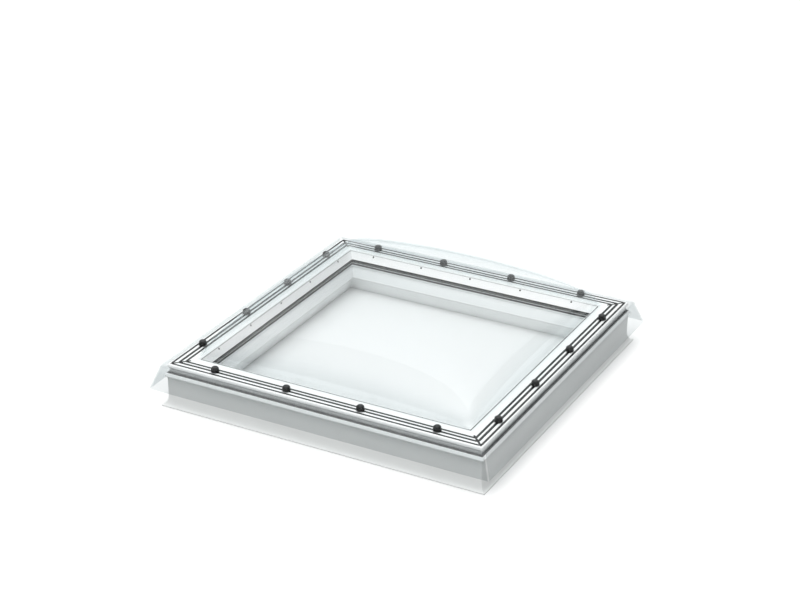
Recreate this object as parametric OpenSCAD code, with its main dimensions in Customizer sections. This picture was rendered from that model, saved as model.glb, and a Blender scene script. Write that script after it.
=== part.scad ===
// Flat-roof skylight: a hollow frame, a hinged glazed sash, a clear dome over it
// and a concealed chain operator in the front member of the frame.
// Origin at the middle of the base, +Z up, front at -Y, hinges at +Y. Millimetres.
// Sections are drawn as points [r, z], with r measured outward from the centre line.

/* [Overall] */
// Clear width between the inner edges of the sash
clear_w = 1000; // [800:10:1400]

/* [Frame] */
// Height of the frame's top land above the roof
frame_h = 120; // [110:1:150]
// Distance from the clear edge out to the frame's outer wall
frame_out = 82; // [80:1:110]
// Wall thickness of the hollow profile
frame_wall = 4; // [3:0.5:5]
// Width of the foot flange outside the wall
flange_w = 18; // [10:1:24]
// Thickness of the flange at its edge
flange_t = 3; // [2:0.5:6]
// Height at which the flare runs into the wall
flare_h = 36; // [20:1:50]
// Width of the drip ridge outside the wall
ridge_w = 7; // [4:0.5:9]
// Height of the ridge's bevel
ridge_bevel = 8; // [5:0.5:12]
// Height of the ridge's underside
ridge_under = 9; // [5:0.5:14]
// Depth of the step from the top land down to the ledge
step_h = 21.5; // [18:0.5:26]
// Distance from the clear edge out to the step's face
step_out = 28; // [24:1:30]
// Distance from the clear edge in to the top of the lining
lining_top_in = 20; // [16:1:24]
// Distance from the clear edge in to the lining's break
lining_break_in = 24; // [20:1:30]
// Height of the lining's break line
lining_break_h = 55.5; // [40:0.5:70]
// Depth of the small step at the break line
lining_step = 1.5; // [0.5:0.5:3]
// Distance from the clear edge out to the foot of the lining
lining_foot_out = 2; // [0:1:8]
// Width of the foot plate that carries the fixing holes
foot_w = 24; // [20:1:26]
// Diameter of the roof fixing holes
fixing_d = 7; // [5:0.5:9]
// Distance from the lining's foot out to the roof fixing holes
fixing_back = 14; // [12:1:16]
// Distance from the end of the clear edge to the first fixing hole
fixing_inset = 150; // [100:5:200]

/* [Seals] */
// Gap between the frame's top land and the sash's underside
sash_gap = 18.5; // [17:0.5:24]
// Width of the outer weather seal
seal_w = 14; // [10:1:16]
// Setback of the outer seal from the frame's outer wall
seal_back = 6; // [4:1:8]
// Thickness of the seal's flap on the frame's top land
flap_t = 1.5; // [1:0.1:2]
// Width of the seal's foot in its groove
seal_foot = 6; // [4:0.5:8]
// Depth of a seal's groove in the frame
seal_groove = 2; // [1:0.5:2.5]
// Width of the inner seal on the ledge
inner_seal_w = 8; // [6:1:10]
// Gap between the ledge and the sash's lower flange
ledge_gap = 1.5; // [1:0.5:3]
// Free gap between a seal and the sash above it
seal_free = 0.3; // [0.2:0.1:0.5]

/* [Sash] */
// Height of the sash's upper body
sash_h = 14; // [12:0.5:20]
// Setback of the sash's nose from the frame's outer wall
nose_back = 1; // [0:0.5:3]
// Width of the nose outside the rails
nose_w = 7; // [6:0.5:10]
// Radius of the nose's upper edge
nose_r = 5; // [2:0.5:5]
// Wall thickness of the sash profile
sash_wall = 4; // [3:0.5:5]
// Thickness of the lower flange under the glass
lip_t = 5; // [4:0.5:7]
// Distance from the clear edge in to the lower flange's tip
lip_in = 20; // [16:1:24]

/* [Rails] */
// Width of a grooved rail
rail_w = 42.5; // [40:0.5:48]
// Height of a grooved rail
rail_h = 10; // [9:0.5:12]
// Width of the sealing cord along the rails' outer edge
edge_cord = 5; // [3:0.5:6]
// Width of the rails' grooves
groove_w = 5.5; // [4:0.5:6]
// Depth of the rails' grooves
groove_d = 5; // [3:0.5:5]
// Distance from a rail's inner edge to its first groove's middle
groove_1 = 10.5; // [8:0.5:12]
// Distance from a rail's inner edge to its second groove's middle
groove_2 = 26.5; // [25:0.5:28]
// Thickness of the gasket in the mitre joints
mitre_t = 4; // [2:0.5:5]
// Radius of the bulb at each end of the mitre gasket
mitre_bulb = 3.5; // [2.5:0.5:4]
// Number of rail screws on a side
rail_screws_n = 4; // [2:1:6]
// Distance from the end of the clear edge to the first rail screw
rail_screw_inset = 50; // [40:5:80]

/* [Glazing] */
// Thickness of a pane
pane_t = 4; // [3:1:6]
// Gap between the two panes
pane_gap = 10; // [8:1:14]
// Distance from the clear edge out to the panes' edge
pane_out = 11; // [8:0.5:12]
// Gap between the panes' edge and the sash
pane_edge_gap = 3; // [2:0.5:5]
// Thickness of the lower glazing gasket
gasket_low_t = 2; // [1:0.5:3]
// Thickness of the upper glazing gasket
gasket_top_t = 1.3; // [1:0.1:2]
// Width of the spacer bar between the panes
spacer_w = 8; // [6:1:12]
// Distance from the clear edge in to the spacer's face
spacer_in = 14; // [12:1:16]
// Distance from the clear edge in to the bead's lower edge
bead_in = 15; // [12:1:18]
// Width of the bead's flat top
bead_top = 1; // [0.8:0.1:2]
// Height of the bead's foot behind the slope
bead_foot = 8; // [5:0.5:9]
// Depth of the bead's top below the sash's land
bead_drop = 0.3; // [0.2:0.1:1]
// Width of the open joint between the bead and the sash's land
bead_joint = 2.5; // [2:0.5:4]
// Thickness of the gasket's lip behind the bead
bead_lip = 1; // [0.8:0.1:1.5]
// Depth of the joint down to the gasket
bead_joint_h = 4; // [3:0.5:5]
// Height of the bead gasket's body
bead_gasket_h = 6; // [5:0.5:8]
// Number of bead screws on a side
bead_screws_n = 5; // [3:1:7]
// Distance from the end of the clear edge to the first bead screw
bead_screw_inset = 100; // [60:5:150]
// Length of a setting block at the panes' edge
setting_l = 80; // [50:5:120]
// Distance from the end of the clear edge to a setting block's middle
setting_inset = 200; // [150:10:250]

/* [Dome] */
// Thickness of the dome's sheet
dome_t = 4; // [3:0.5:5]
// Rise of the bulge above the flange
dome_rise = 197; // [150:1:260]
// Distance from the edge of the clear opening out to the bulge's foot
dome_foot = 12; // [8:0.5:24]
// Distance from the frame's outer wall out to the skirt's tip
skirt_out = 47; // [40:1:60]
// Height of the skirt's tip above the roof
skirt_tip_z = 70.5; // [60:0.5:90]
// Radius of the bend from the flange into the skirt
skirt_r = 14; // [10:1:16]
// Distance from the sash's nose out to the start of that bend
bend_out = 7.5; // [5:0.5:12]

/* [Knobs] */
// Diameter of a knob
knob_d = 27; // [24:1:30]
// Height of a knob
knob_h = 13; // [11:0.5:16]
// Thickness of the washer under a knob
washer_t = 1.5; // [1:0.5:3]
// Diameter of the knob bolts
bolt_d = 6; // [5:0.5:6]
// Distance from the end of the clear edge to the first knob
knob_inset = 89; // [70:1:120]
// Number of knobs on a side
knobs_n = 4; // [2:1:6]

/* [Hinges] */
// Distance from the frame's outer wall out to the hinge axis
hinge_out = 5; // [4:0.5:8]
// Height of the hinge axis above the frame's top land
hinge_up = 8.2; // [7:0.1:9]
// Width of a hinge
hinge_w = 80; // [60:2:110]
// Diameter of the hinge pins
hinge_pin_d = 5; // [4:0.5:6]
// Radius of the knuckles
knuckle_r = 5.6; // [5:0.1:6.2]
// Thickness of the leaf on the frame
leaf_frame_t = 3; // [2:0.5:3]
// Thickness of the leaf on the sash
leaf_sash_t = 2.5; // [2:0.5:2.5]
// Length of the leaves inward from the hinge axis
leaf_l = 42; // [36:1:48]
// Distance from the end of the clear edge to a hinge's middle
hinge_inset = 150; // [110:5:250]
// Distance from a hinge's end to its screws
hinge_screw_in = 12; // [8:1:14]
// Distance from a leaf's inner end to its screws
hinge_screw_back = 8; // [6:1:10]

/* [Operator] */
// Length of the operator's housing
op_l = 380; // [360:10:500]
// Depth of the operator's housing
op_h = 46; // [44:1:50]
// Sheet thickness of the housing
op_t = 1.5; // [1:0.5:2]
// Pitch of the chain
chain_p = 9; // [9:0.1:9.2]
// Distance from the cavity's inner face out to the chain
chain_back = 9; // [8.5:0.5:10]
// Number of teeth on the sprocket
teeth = 7; // [7:1:8]
// Diameter of the sprocket's shaft
shaft_d = 8; // [6:0.5:8]
// Diameter of the gearbox
gearbox_d = 26; // [22:1:28]
// Diameter of the motor
motor_d = 25; // [20:1:27]
// Length of the motor
motor_l = 106; // [80:2:130]
// Gap between the bearing block and the control unit
control_gap = 25; // [15:1:40]

/* [Clearances] */
// Radial clearance of a pin or shaft in its bore
run_fit = 0.05; // [0.02:0.01:0.1]
// Radial clearance of a screw in its hole
screw_fit = 0.1; // [0.05:0.05:0.3]
// Gap round a piece that drops into a pocket
drop_fit = 0.3; // [0.2:0.1:0.5]

/* [Hidden] */
$fn = 48;
edge = clear_w / 2;
far = clear_w;

// Heights
ledge_z = frame_h - step_h;
lip_z = ledge_z + ledge_gap;
pocket_z = lip_z + lip_t;
low_pane_z = pocket_z + gasket_low_t;
spacer_z = low_pane_z + pane_t;
top_pane_z = spacer_z + pane_gap;
glass_top_z = top_pane_z + pane_t;
bead_z = glass_top_z + gasket_top_t;
sash_z = frame_h + sash_gap;
sash_top = sash_z + sash_h;
rail_z = sash_top - rail_h;
bead_top_z = sash_top - bead_drop;
dome_z = sash_top + dome_t;

// Distances from the centre line
wall_r = edge + frame_out;
step_r = edge + step_out;
nose_rr = wall_r - nose_back;
cord_r = nose_rr - nose_w;
rail_out_r = cord_r - edge_cord;
rail_in_r = rail_out_r - rail_w;
seal_r = wall_r - seal_back;
seal_mid = seal_r - seal_w / 2;
pocket_r = edge + pane_out + pane_edge_gap;
web_r = pocket_r + sash_wall;
pane_r = edge + pane_out;
bead_back_r = edge + bead_joint;
bead_rear_r = edge - bead_lip;
knob_r = rail_in_r + groove_2;
fixing_r = edge + lining_foot_out + fixing_back;
inner_seal_r = (edge - lip_in + web_r) / 2;
cavity_in = step_r + frame_wall;
cavity_top = frame_h - frame_wall;
rail_screw_r = rail_in_r + (groove_1 + groove_2) / 2;
rail_screw_half = edge - rail_screw_inset;

// Overrun of a cut past the piece it cuts, and sink of a piece into the one it is fused with
over = 1;

// Shape of the frame: steps of the flare's curve, flat of the ridge, and the ridge's width at the top
flare_steps = 8;
ridge_flat = 2;
ridge_top = ridge_w / 4;

// Shape of the sash's nose and of the rib that presses on the outer seal
nose_steps = 6;
nose_cut_w = 2;
nose_cut_h = 2.5;
rib_drop = 0.1;
rib_gap = 1;
rib_z = sash_z - leaf_sash_t - rib_drop;
flap_edge = 0.5;
flap_r = wall_r + ridge_top - flap_edge;

// Notch along the outer seal, and how far the pane gaskets stay back from the bead's and lip's edges
seal_notch = 1.5;
gasket_top_set = 1;
gasket_low_set = 4;

// Small screws: shank radius, head radius, head height
screw_r = 2;
screw_head_r = 3.6;
screw_head_h = 2;
screw_bite = 4;
bead_screw_r = 1.4;
bead_screw_head = 2.8;
bead_screw_l = 12;
bead_head_sink = 1;
bead_head_recess = 0.2;
rail_skin = 2;

// Slope of the bead, and the depth of its screws below its top
bead_slope_top = bead_rear_r - bead_top;
bead_tilt = atan((bead_slope_top - (edge - bead_in)) / (bead_top_z - bead_z));
bead_screw_drop = 4;

// Knobs: straight rim, ledge, draft, top bevel, flutes and the cap over the bolt
knob_z = dome_z + washer_t;
knob_rim = 4;
knob_ledge = 0.6;
knob_draft = 1.2;
knob_bevel_h = 3;
knob_bevel_w = 4.5;
knob_flutes = 8;
flute_r = 3;
flute_cut = 2.2;
knob_cap = 2.5;
bolt_end_gap = 0.5;
bolt_head_r = 5;
bolt_head_h = 3;
washer_over = 1;
dome_hole_fit = 1;

// Hinge axis and the chain's arc about it
hinge_y = wall_r + hinge_out;
hinge_z = frame_h + hinge_up;
hinge_half = edge - hinge_inset;
chain_r = cavity_in + chain_back;
arc_r = hinge_y + chain_r;
arc_step = chain_p / arc_r * 180 / PI;
foot_clear = 7;
links = floor((hinge_z - frame_wall - foot_clear) / chain_p);
chain_low_r = arc_r * cos(links * arc_step) - hinge_y;
mesh_pin = 3;
sprocket_r = teeth * chain_p / (2 * PI);
plate_r = 3.5;
plate_t = 1.2;
plate_gap = 0.2;
roller_r = 2.2;
link_pin_r = 1.4;
waist = 0.8;
chain_in = 2.6;
chain_out = chain_in + 2 * plate_t + 3 * plate_gap;
bracket_pin_r = link_pin_r;
lug_t = 3;
leaf_gap = 0.5;
lug_in = chain_out + leaf_gap;
lug_wall = 2.5;
bracket_half = 26;
bracket_screw_in = 7;
bracket_front = 10;
bracket_back = 6;
slot_gap = 2;

// The middle third of a hinge's width belongs to the sash leaf
knuckle_mid = hinge_w / 6;
knuckle_gap = 0.4;

// Operator's places, measured outward from the centre line on the front side
op_in = cavity_in + drop_fit;
op_out = wall_r - frame_wall - drop_fit;
op_z = cavity_top - op_h;
op_floor = op_z + op_t;
op_tab = 20;
op_bay = 5;
cheek_gap = 0.7;
cheek_in = chain_out + cheek_gap;
cheek_t = 7.5;
cheek_out = cheek_in + cheek_t;
cheek_drop = 2;
sprocket_half = 2;
side_play = 0.4;
collar_t = 1;
shaft_into_box = 10;
shaft_end_gap = 2;
gearbox_l = 30;
control_h = 36;
guide_wall = 2;
guide_gap = 0.8;
guide_tab = 12;
guide_foot_gap = 1;

// Sprocket teeth: height, gap below a roller, play beside it, half-width at the tip, shoulder
tooth_h = 2;
root_gap = 0.5;
tooth_play = 0.3;
tooth_tip = 0.7;
tooth_shoulder = 0.8;
tooth_taper = 0.4;
tooth_clear = 1;

// Dome surface: softness of the minimum, share of the product, power of the crown
dome_soft = 12;
dome_mix = 0.748;
dome_power = 0.394;
soft_peak = 1 - ln(2) / dome_soft;
dome_rings = 12;
dome_side = 12;
bend_steps = 4;

// Side angles: right, back, left, front
right = 0;
back = 90;
left = 180;
front = 270;
sides = [right, back, left, front];

// n places spread evenly from -half to +half
function spread(n, half) = [for (i = [0:n - 1]) n == 1 ? 0 : -half + 2 * half * i / (n - 1)];

// Points of an arc from angle a0 to a1
function arc(cx, cz, rx, rz, a0, a1, n) =
    [for (i = [0:n]) [cx + rx * cos(a0 + (a1 - a0) * i / n), cz + rz * sin(a0 + (a1 - a0) * i / n)]];

// One straight side of a ring, its ends cut at 45 degrees with gap between neighbours
module bar(profile, gap = 0) {
    d = gap / sqrt(2);
    intersection() {
        rotate([90, 0, 0]) linear_extrude(2 * far, center = true) polygon(profile);
        translate([0, 0, -far]) linear_extrude(2 * far) polygon([[d, 0], [d + far, -far], [d + far, far]]);
    }
}

// Four sides as one welded ring
module ring(profile) {
    for (a = sides) rotate([0, 0, a]) bar(profile);
}

// Ring of rectangular section
module flat_ring(r_in, r_out, z0, z1) {
    difference() {
        translate([-r_out, -r_out, z0]) cube([2 * r_out, 2 * r_out, z1 - z0]);
        translate([-r_in, -r_in, z0 - over]) cube([2 * r_in, 2 * r_in, z1 - z0 + 2 * over]);
    }
}

// Rectangle as section points
function box2(r0, r1, z0, z1) = [[r0, z0], [r1, z0], [r1, z1], [r0, z1]];

// Box between two corners
module block(lo, hi) {
    translate(lo) cube(hi - lo);
}

// Children repeated along every side at distance r, n a side within +-half
module along_sides(r, n, half) {
    for (a = sides, t = spread(n, half)) rotate([0, 0, a]) translate([r, t, 0]) children();
}

// Screw with its head's underside at z = 0 and its shank pointing up
module screw_up(l, r = screw_r) {
    cylinder(h = l, r = r);
    translate([0, 0, -screw_head_h]) cylinder(h = screw_head_h, r = screw_head_r);
}

// Places of the four roof fixing holes on each pair of sides
module at_fixings() {
    along_sides(fixing_r, 2, edge - fixing_inset) children();
}

// Outline of the hollow frame, open at the bottom
frame_outer = concat(
    [[wall_r - frame_wall, 0], [wall_r + flange_w, 0]],
    arc(wall_r + flange_w, flare_h, -flange_w, flange_t - flare_h, 90, 0, flare_steps),
    [[wall_r, frame_h - ridge_bevel - ridge_under - ridge_flat],
     [wall_r + ridge_w, frame_h - ridge_bevel - ridge_flat],
     [wall_r + ridge_w, frame_h - ridge_bevel],
     [wall_r + ridge_top, frame_h],
     [step_r, frame_h], [step_r, ledge_z], [edge - lining_top_in, ledge_z],
     [edge - lining_break_in, lining_break_h],
     [edge - lining_break_in + lining_step, lining_break_h],
     [edge + lining_foot_out, 0], [edge + lining_foot_out + foot_w, 0]]);
frame_inner = [
    [edge + lining_foot_out + foot_w, frame_wall],
    [edge + lining_foot_out + frame_wall, frame_wall],
    [edge - lining_break_in + lining_step + frame_wall, lining_break_h],
    [edge - lining_top_in + frame_wall, ledge_z - frame_wall],
    [cavity_in, ledge_z - frame_wall], [cavity_in, cavity_top],
    [wall_r - frame_wall, cavity_top]];

// Places of the operator's screws on the frame's top land
module at_operator_screws() {
    for (t = [-1, 1]) translate([t * (op_l / 2 - op_tab / 2), -chain_r, 0]) children();
}

// Places of one hinge's screws, measured from the hinge's middle
module at_leaf_screws() {
    for (t = [-1, 1])
        translate([t * (hinge_w / 2 - hinge_screw_in), hinge_y - leaf_l + hinge_screw_back, 0]) children();
}

// Places of both hinges' screws
module at_hinge_screws() {
    for (s = [-1, 1]) translate([s * hinge_half, 0, 0]) at_leaf_screws() children();
}

// Screw hole up through the sash's floor into the rails
module sash_floor_hole() {
    translate([0, 0, sash_z - over]) cylinder(h = rail_z - sash_z + 2 * over, r = screw_r + screw_fit);
}

// Screw hole through the frame's top wall
module frame_top_hole() {
    translate([0, 0, cavity_top - over]) cylinder(h = frame_wall + 2 * over, r = screw_r + screw_fit);
}

module frame() {
    color("white") difference() {
        ring(concat(frame_outer, frame_inner));
        flat_ring(seal_mid - seal_foot / 2, seal_mid + seal_foot / 2, frame_h - seal_groove, frame_h + over);
        flat_ring(inner_seal_r - inner_seal_w / 2, inner_seal_r + inner_seal_w / 2,
            ledge_z - seal_groove, ledge_z + over);
        at_fixings() translate([0, 0, -over]) cylinder(h = frame_h, d = fixing_d);
        at_operator_screws() frame_top_hole();
        at_hinge_screws() frame_top_hole();
        block([-lug_in - lug_t, -chain_r - plate_r - slot_gap, cavity_top - over],
            [lug_in + lug_t, -chain_r + plate_r + slot_gap, frame_h + over]);
    }
}

// Foam that fills the hollow frame, cut away for the operator and the fixing screws
module insulation_core() {
    g = drop_fit;
    bay = op_l / 2 + op_bay;
    color("ivory") difference() {
        ring([[edge + lining_foot_out + frame_wall + g, frame_wall],
            [wall_r - frame_wall - g, frame_wall], [wall_r - frame_wall - g, cavity_top - g],
            [cavity_in + g, cavity_top - g], [cavity_in + g, ledge_z - frame_wall - g],
            [edge - lining_top_in + frame_wall + 3 * g, ledge_z - frame_wall - g],
            [edge - lining_break_in + lining_step + frame_wall + 2 * g, lining_break_h]]);
        at_fixings() cylinder(h = frame_h, d = 2 * fixing_d);
        at_hinge_screws() translate([0, 0, cavity_top - screw_bite - over])
            cylinder(h = frame_h, r = screw_r + screw_fit);
        block([-bay, -wall_r, -over], [bay, -edge - lining_foot_out - foot_w, frame_h]);
    }
}

module outer_seal() {
    g = drop_fit;
    top = rib_z - seal_free;
    mid = (frame_h + top) / 2;
    color("dimgray") difference() {
        union() {
            ring([[seal_r - seal_w, frame_h], [flap_r, frame_h], [flap_r, frame_h + flap_t],
                [seal_r, frame_h + flap_t], [seal_r, mid - seal_notch], [seal_r - seal_notch, mid],
                [seal_r, mid + seal_notch], [seal_r, top], [seal_r - seal_w, top]]);
            flat_ring(seal_mid - seal_foot / 2 + g, seal_mid + seal_foot / 2 - g,
                frame_h - seal_groove, frame_h + over);
        }
        for (s = [-1, 1])
            block([s * hinge_half - hinge_w / 2 - g, hinge_y - leaf_l - g, frame_h - seal_groove - over],
                [s * hinge_half + hinge_w / 2 + g, far, frame_h + leaf_frame_t + g]);
    }
}

module inner_seal() {
    g = drop_fit;
    half = inner_seal_w / 2 - g;
    color("dimgray") flat_ring(inner_seal_r - half, inner_seal_r + half,
        ledge_z - seal_groove, lip_z - seal_free);
}

// Knuckle along X between x0 and x1, bored for the pin
module knuckle(x0, x1) {
    difference() {
        translate([x0, hinge_y, hinge_z]) rotate([0, 90, 0]) cylinder(h = x1 - x0, r = knuckle_r);
        hinge_bore();
    }
}

module hinge_bore() {
    translate([-hinge_w, hinge_y, hinge_z]) rotate([0, 90, 0])
        cylinder(h = 2 * hinge_w, d = hinge_pin_d + 2 * run_fit);
}

module hinge_frame_leaf(side) {
    color("silver") translate([side * hinge_half, 0, 0]) difference() {
        union() {
            block([-hinge_w / 2, hinge_y - leaf_l, frame_h],
                [hinge_w / 2, hinge_y, frame_h + leaf_frame_t]);
            for (s = [-1, 1]) {
                x0 = s < 0 ? -hinge_w / 2 : knuckle_mid + leaf_gap;
                x1 = s < 0 ? -knuckle_mid - leaf_gap : hinge_w / 2;
                knuckle(x0, x1);
                block([x0, hinge_y - knuckle_r, frame_h], [x1, hinge_y, hinge_z]);
            }
        }
        hinge_bore();
        block([-knuckle_mid - leaf_gap, hinge_y - knuckle_r - slot_gap, frame_h - over],
            [knuckle_mid + leaf_gap, hinge_y + knuckle_r, hinge_z + knuckle_r]);
        at_leaf_screws() translate([0, 0, frame_h - over])
            cylinder(h = leaf_frame_t + 2 * over, r = screw_r + screw_fit);
    }
}

module hinge_sash_leaf(side) {
    color("silver") translate([side * hinge_half, 0, 0]) difference() {
        union() {
            block([-hinge_w / 2, hinge_y - leaf_l, sash_z - leaf_sash_t],
                [hinge_w / 2, hinge_y - knuckle_r - knuckle_gap, sash_z]);
            block([-knuckle_mid, hinge_y - knuckle_r - knuckle_gap - over, sash_z - leaf_sash_t],
                [knuckle_mid, hinge_y, sash_z]);
            block([-knuckle_mid, hinge_y - knuckle_r, hinge_z], [knuckle_mid, hinge_y, sash_z]);
            knuckle(-knuckle_mid, knuckle_mid);
        }
        hinge_bore();
        at_leaf_screws() translate([0, 0, sash_z - leaf_sash_t - over])
            cylinder(h = leaf_sash_t + 2 * over, r = screw_r + screw_fit);
    }
}

module hinge_pin(side) {
    color("gray") translate([side * hinge_half - hinge_w / 2, hinge_y, hinge_z]) rotate([0, 90, 0])
        cylinder(h = hinge_w, d = hinge_pin_d);
}

module hinge_frame_screws() {
    color("gray") at_hinge_screws() translate([0, 0, frame_h + leaf_frame_t]) rotate([180, 0, 0])
        screw_up(leaf_frame_t + frame_wall + screw_bite);
}

module hinge_sash_screws() {
    color("gray") at_hinge_screws() translate([0, 0, sash_z - leaf_sash_t])
        screw_up(leaf_sash_t + rail_z - sash_z - drop_fit);
}

// Section of the sash, with the rails' pocket in its top and the glass pocket inside
sash_profile = concat(
    [[edge - lip_in, lip_z], [web_r, lip_z], [web_r, sash_z],
     [nose_rr - nose_cut_w, sash_z], [nose_rr, sash_z + nose_cut_h]],
    arc(nose_rr - nose_r, sash_top - nose_r, nose_r, nose_r, 0, 90, nose_steps),
    [[cord_r, sash_top], [cord_r, rail_z], [rail_in_r - drop_fit, rail_z],
     [rail_in_r - drop_fit, sash_top], [bead_back_r, sash_top],
     [bead_back_r, bead_z + bead_foot + drop_fit], [pocket_r, bead_z + bead_foot + drop_fit],
     [pocket_r, pocket_z], [edge - lip_in, pocket_z]]);

// Vertical places of the mitre gasket's two bulbs at every corner
module at_mitre_bulbs() {
    for (a = sides, r = [rail_in_r, (rail_out_r + cord_r) / 2])
        rotate([0, 0, a]) translate([r, r, 0]) children();
}

// Rib under the sash that presses on the outer seal
module sash_rib() {
    difference() {
        flat_ring(seal_mid - seal_foot / 2, seal_mid + seal_foot / 2, rib_z, sash_z + over);
        for (s = [-1, 1]) block([s * hinge_half - hinge_w / 2 - rib_gap, edge, frame_h],
            [s * hinge_half + hinge_w / 2 + rib_gap, far, sash_z]);
    }
}

module sash() {
    color("white") difference() {
        union() {
            ring(sash_profile);
            sash_rib();
        }
        at_mitre_bulbs() translate([0, 0, rail_z]) cylinder(h = rail_h + over, r = mitre_bulb);
        along_sides(rail_screw_r, rail_screws_n, rail_screw_half) sash_floor_hole();
        at_hinge_screws() sash_floor_hole();
        at_bracket_screws() sash_floor_hole();
        at_bead_screws() cylinder(h = bead_screw_l + over, r = bead_screw_r + screw_fit);
    }
}

// Grooved rail for one side
module rail(angle) {
    grooves = [rail_in_r + groove_1, rail_in_r + groove_2];
    color("whitesmoke") difference() {
        rotate([0, 0, angle]) difference() {
            bar(box2(rail_in_r, rail_out_r, rail_z, sash_top), mitre_t + drop_fit);
            for (g = grooves) block([g - groove_w / 2, -far, sash_top - groove_d],
                [g + groove_w / 2, far, sash_top + over]);
            for (t = spread(rail_screws_n, rail_screw_half)) translate([rail_screw_r, t, rail_z - over])
                cylinder(h = rail_h + over - rail_skin, r = screw_r + screw_fit);
            for (t = spread(knobs_n, edge - knob_inset)) translate([knob_r, t, rail_z - over]) {
                cylinder(h = rail_h + 2 * over, d = bolt_d + 2 * screw_fit);
                cylinder(h = bolt_head_h + over + drop_fit, r = bolt_head_r + drop_fit);
            }
        }
        at_mitre_bulbs() translate([0, 0, rail_z - over]) cylinder(h = rail_h + 2 * over, r = mitre_bulb);
    }
}

// Thin gasket with a round bulb at each end, standing in every corner joint
module mitre_gaskets() {
    in_r = rail_in_r * sqrt(2);
    out_r = (rail_out_r + cord_r) / sqrt(2);
    color("black") {
        for (a = sides) rotate([0, 0, a + 45])
            block([in_r, -mitre_t / 2, rail_z], [out_r, mitre_t / 2, sash_top - drop_fit]);
        at_mitre_bulbs() translate([0, 0, rail_z])
            cylinder(h = rail_h - drop_fit, r = mitre_bulb - screw_fit);
    }
}

module edge_cord_seal() {
    color("black") for (a = sides) rotate([0, 0, a])
        bar(box2(rail_out_r + screw_fit, cord_r - screw_fit, rail_z, sash_top - drop_fit),
            2 * (mitre_bulb + drop_fit));
}

// Sealing cord in a rail groove, parted where a knob's bolt comes up through it
module dome_seal(r) {
    half = groove_w / 2 - screw_fit;
    color("black") difference() {
        for (a = sides) rotate([0, 0, a])
            bar(box2(r - half, r + half, sash_top - groove_d, sash_top), mitre_t + drop_fit);
        at_knobs() translate([0, 0, rail_z]) cylinder(h = rail_h + over, d = bolt_d + 2 * screw_fit);
    }
}

module rail_screws() {
    color("gray") along_sides(rail_screw_r, rail_screws_n, rail_screw_half)
        translate([0, 0, sash_z]) screw_up(rail_z - sash_z + rail_h - 2 * rail_skin);
}

// Places of the bead screws, set square to the bead's slope
module at_bead_screws() {
    along_sides(bead_slope_top - bead_screw_drop * tan(bead_tilt), bead_screws_n, edge - bead_screw_inset)
        translate([0, 0, bead_top_z - bead_screw_drop]) rotate([0, 90 + bead_tilt, 0]) children();
}

module bead(angle) {
    color("white") difference() {
        rotate([0, 0, angle]) bar([[edge - bead_in, bead_z], [pocket_r - drop_fit, bead_z],
            [pocket_r - drop_fit, bead_z + bead_foot], [bead_rear_r, bead_z + bead_foot],
            [bead_rear_r, bead_top_z], [bead_slope_top, bead_top_z]], drop_fit);
        at_bead_screws() {
            cylinder(h = bead_screw_l, r = bead_screw_r + screw_fit);
            translate([0, 0, -over]) cylinder(h = over + bead_head_sink, r = bead_screw_head + screw_fit);
        }
    }
}

// Gasket in the joint behind the beads: a body between bead and sash, and a lip up the bead's back
module bead_gasket() {
    g = screw_fit;
    floor_z = sash_top - bead_joint_h;
    color("black") difference() {
        ring([[bead_rear_r + g, floor_z - bead_gasket_h], [bead_back_r - g, floor_z - bead_gasket_h],
            [bead_back_r - g, floor_z], [edge, floor_z], [edge, bead_top_z], [bead_rear_r + g, bead_top_z]]);
        at_bead_screws() cylinder(h = bead_screw_l, r = bead_screw_r + screw_fit);
    }
}

module bead_screws() {
    color("dimgray") at_bead_screws() {
        cylinder(h = bead_screw_l, r = bead_screw_r);
        translate([0, 0, bead_head_recess])
            cylinder(h = bead_head_sink - bead_head_recess, r = bead_screw_head);
    }
}

// Insulating glass unit and what it is bedded in
module pane(z) {
    color([0.75, 0.85, 0.85, 0.4]) block([-pane_r, -pane_r, z], [pane_r, pane_r, z + pane_t]);
}

module spacer_bar() {
    color("black") flat_ring(edge - spacer_in, edge - spacer_in + spacer_w, spacer_z, top_pane_z);
}

module edge_sealant() {
    color("black") flat_ring(edge - spacer_in + spacer_w, pane_r, spacer_z, top_pane_z);
}

module upper_gasket() {
    color("black") flat_ring(edge - bead_in + gasket_top_set, pane_r, glass_top_z, bead_z);
}

module lower_gasket() {
    color("black") flat_ring(edge - lip_in + gasket_low_set, pane_r, pocket_z, low_pane_z);
}

module setting_blocks() {
    color("gray") along_sides(0, 2, edge - setting_inset)
        block([pane_r, -setting_l / 2, pocket_z], [pocket_r, setting_l / 2, glass_top_z]);
}

// Dome surface: a pillow over a square, from a soft minimum of two arches and their product
function arch(u) = 1 - u * u;
function soft_min(a, b) = -ln(exp(-dome_soft * a) + exp(-dome_soft * b)) / dome_soft;
function pillow(u, w) =
    let (a = arch(u), b = arch(w))
    pow(max(dome_mix * a * b + (1 - dome_mix) * max(soft_min(a, b), 0) / soft_peak, 0), dome_power);

// Point i of a ring round a square of half-width 1
function on_square(i) =
    let (side = floor(i / dome_side), t = -1 + 2 * (i % dome_side) / dome_side)
    side == 0 ? [1, t] : side == 1 ? [-t, 1] : side == 2 ? [-1, -t] : [t, -1];

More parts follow.
